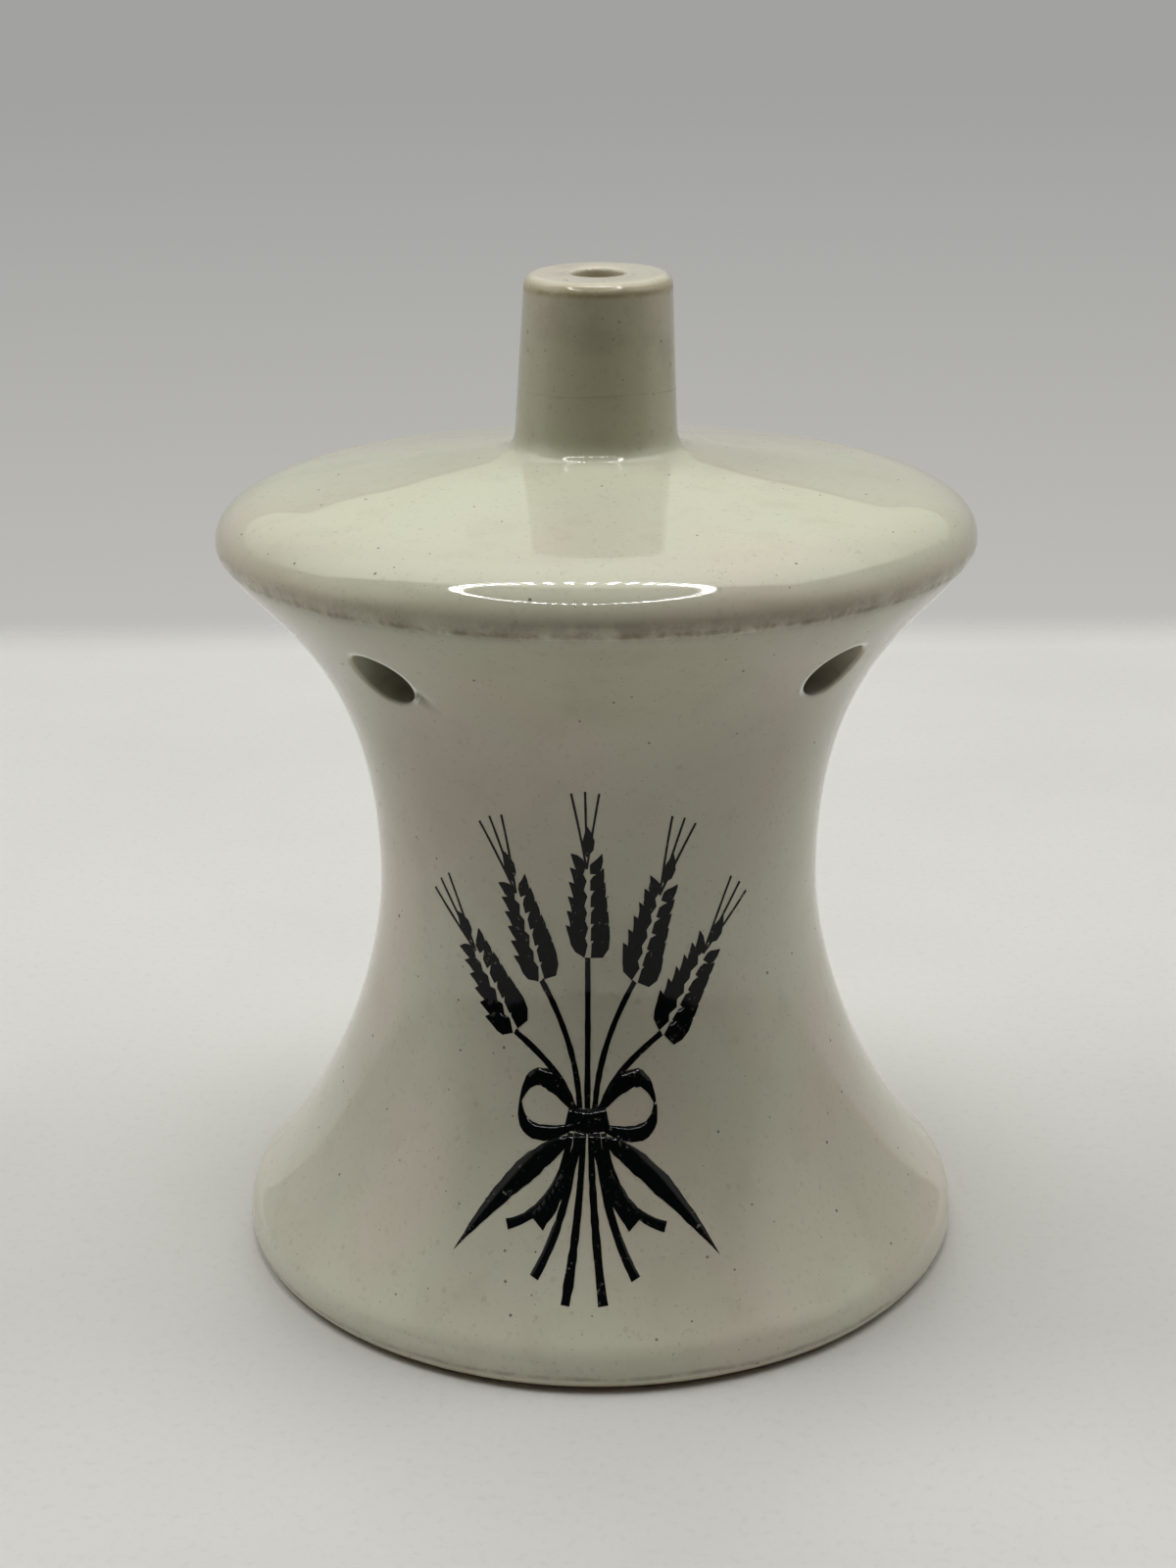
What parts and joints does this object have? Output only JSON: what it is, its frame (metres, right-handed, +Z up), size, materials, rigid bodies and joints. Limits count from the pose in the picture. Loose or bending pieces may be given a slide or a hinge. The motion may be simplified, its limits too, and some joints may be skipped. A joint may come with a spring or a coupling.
{
  "type": "pie funnel",
  "caption": "Waisted hollow glazed earthenware pie funnel with a flared foot, vents pierced under a rolled rim and a short bored chimney.",
  "frame": {"origin": "centre of the foot's flat resting ring, at the lowest point of the object", "axes": "+Z up along the turned axis towards the chimney, -Y towards the side the picture shows as the front, +X to the right of that side"},
  "size_m": [0.0604, 0.0604, 0.08],
  "materials": {
    "body_glaze": "glossy cream glaze over earthenware, slightly green where it lies thick",
    "cover_glaze": "glossy cream glaze, greener where it has pooled round the chimney",
    "chimney_glaze": "glossy cream glaze, thin and brownish at the top edge"
  },
  "bodies": {
    "root": {"waisted_body": "body_glaze", "domed_cover": "cover_glaze", "chimney": "chimney_glaze"}
  },
  "joints": []
}
